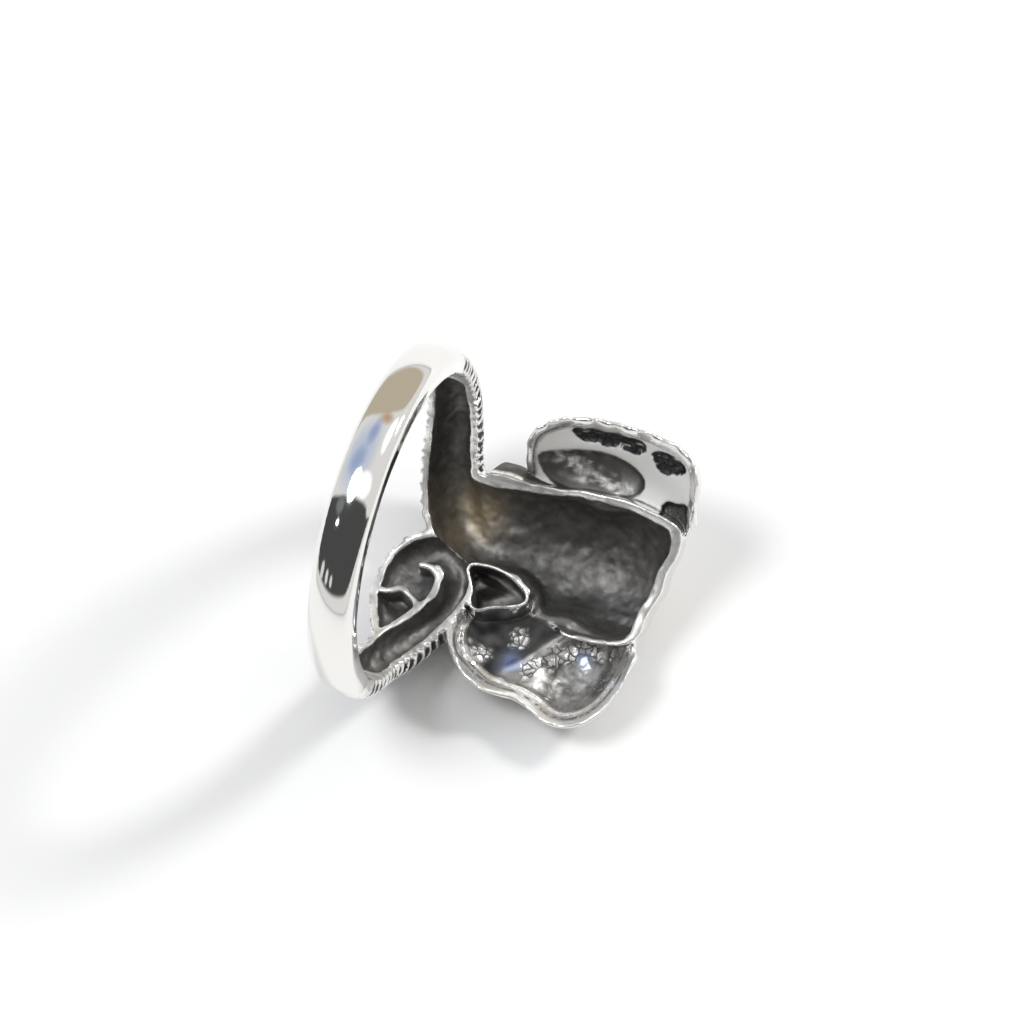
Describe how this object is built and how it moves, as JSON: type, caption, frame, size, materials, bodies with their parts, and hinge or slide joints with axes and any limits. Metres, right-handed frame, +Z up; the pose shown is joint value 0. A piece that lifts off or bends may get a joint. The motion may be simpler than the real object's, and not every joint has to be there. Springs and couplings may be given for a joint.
{
  "type": "elephant ring",
  "caption": "Cast finger ring: an elephant's head with spread ears lies along the finger, its wrinkled trunk runs round as the band and curls beside the mouth.",
  "frame": {"origin": "on the finger hole's axis, at the middle of the band's width", "axes": "+Z up as the ring lies face down on a table; +Y along the finger towards the crown of the head, level but for the resting tilt; +X to the side of the curled trunk end"},
  "size_m": [0.022, 0.0183, 0.0222],
  "materials": {
    "silver": "polished silver with dark oxidised hollows"
  },
  "bodies": {
    "root": {"elephant_ring": "silver"}
  },
  "joints": []
}
